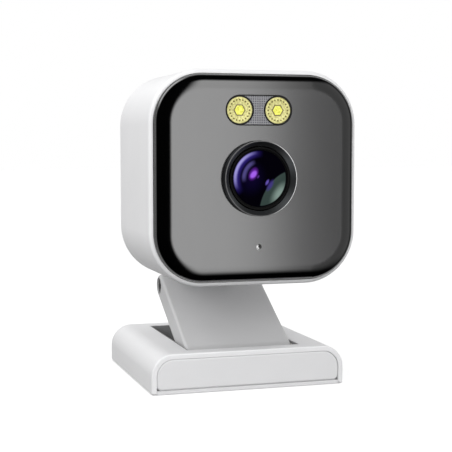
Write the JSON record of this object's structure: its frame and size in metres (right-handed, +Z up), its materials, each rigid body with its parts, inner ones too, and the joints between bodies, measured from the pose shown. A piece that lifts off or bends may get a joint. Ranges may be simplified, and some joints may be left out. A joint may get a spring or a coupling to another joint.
{
  "type": "floodlight security camera",
  "caption": "Small cube security camera with LED floodlights above the lens, on a flat base with a folding tilt arm.",
  "frame": {"origin": "centre of the underside of the base's foot pad", "axes": "+Z up, the lens looks along -Y, +X is to the right of someone who faces the lens from the front"},
  "size_m": [0.0624, 0.0683, 0.0933],
  "materials": {
    "arm_grey": "fine matt grey plastic",
    "screw_steel": "zinc plated",
    "spine_steel": "rolled sheet",
    "ballast_steel": "sawn steel",
    "white_cap": "fine matt white plastic",
    "foot_rubber": "matt rubber",
    "pin_steel": "turned steel",
    "washer_nylon": "nylon",
    "white_shell": "satin moulded white plastic",
    "post_brass": "turned",
    "chip_black": "moulded epoxy",
    "chassis_plastic": "moulded plastic",
    "lens_glass": "coated glass",
    "panel_black": "gloss",
    "sink_aluminium": "milled",
    "sensor_silicon": "polished",
    "filter_glass": "coated glass",
    "board_green": "solder resist",
    "board_white": "white solder resist",
    "emitter_yellow": "phosphor",
    "led_yellow": "clear lens over yellow",
    "ring_black": "gloss",
    "window_mesh": "fine mesh under clear plastic",
    "barrel_black": "matt black",
    "bezel_dark": "satin dark ring",
    "holder_black": "matt black",
    "seal_rubber": "matt rubber",
    "can_metal": "pressed tin",
    "cover_white": "fine matt white plastic",
    "ribbon_orange": "film",
    "button_white": "satin white plastic",
    "speaker_black": "paper cone and steel basket",
    "thermal_pad": "soft pad",
    "lug_grey": "fine matt grey plastic",
    "black_screw": "black oxide",
    "inlet_steel": "plated steel",
    "well_grey": "coarse matt dark grey plastic",
    "antenna_copper": "foil"
  },
  "bodies": {
    "base": {"base_shell": "white_shell", "base_front_cap": "white_cap", "base_rear_cap": "white_cap", "base_bottom_plate": "white_cap", "base_foot_pad": "foot_rubber", "base_screws": "screw_steel", "well_tray": "well_grey", "base_hinge_pin": "pin_steel", "base_pin_clips": "pin_steel", "base_hinge_washers": "washer_nylon", "ballast_bars": "ballast_steel"},
    "arm": {"arm_body": "arm_grey", "arm_rear_cover": "arm_grey", "arm_spine": "spine_steel", "arm_cover_screws": "screw_steel", "tilt_screw": "black_screw", "tilt_nut": "pin_steel", "tilt_spring_washers": "washer_nylon"},
    "head": {"board_posts": "post_brass", "board_screws": "screw_steel", "button_switch": "chip_black", "chassis_plate": "chassis_plastic", "front_lens": "lens_glass", "front_panel": "panel_black", "heat_spreader": "sink_aluminium", "housing_shell": "white_shell", "image_sensor": "sensor_silicon", "infrared_filter": "filter_glass", "inner_lenses": "lens_glass", "io_board": "board_green", "led_board": "board_white", "led_emitters": "emitter_yellow", "led_heat_sink": "sink_aluminium", "led_optics": "led_yellow", "led_rings": "ring_black", "led_window": "window_mesh", "lens_barrel": "barrel_black", "lens_bezel": "bezel_dark", "lens_holder": "holder_black", "lens_spacers": "barrel_black", "main_board": "board_green", "memory_chips": "chip_black", "mic_board": "board_green", "mic_gasket": "seal_rubber", "microphone": "can_metal", "panel_gasket": "seal_rubber", "processor": "chip_black", "radio_shield": "can_metal", "rear_cover": "cover_white", "sensor_board": "board_green", "sensor_ribbon": "ribbon_orange", "speaker": "speaker_black", "speaker_gasket": "seal_rubber", "thermal_pad": "thermal_pad", "tilt_lug": "lug_grey", "usb_inlet": "inlet_steel", "wifi_antenna": "antenna_copper"},
    "button": {"setup_button": "button_white"}
  },
  "joints": [
    {"name": "arm_fold", "type": "hinge", "parent": "base", "child": "arm", "pos_m": [0, -0.0175, 0.00805], "axis": [1, 0, 0], "range_deg": [-29.5, 60.5]},
    {"name": "head_tilt", "type": "hinge", "parent": "arm", "child": "head", "pos_m": [0, 0.01453, 0.02617], "axis": [1, 0, 0], "range_deg": [-35, 16]},
    {"name": "setup_press", "type": "slide", "parent": "head", "child": "button", "axis": [0, -1, 0], "range_m": [0, 0.0006], "stiffness_N_per_m": 400, "springref_m": -0.0005}
  ]
}
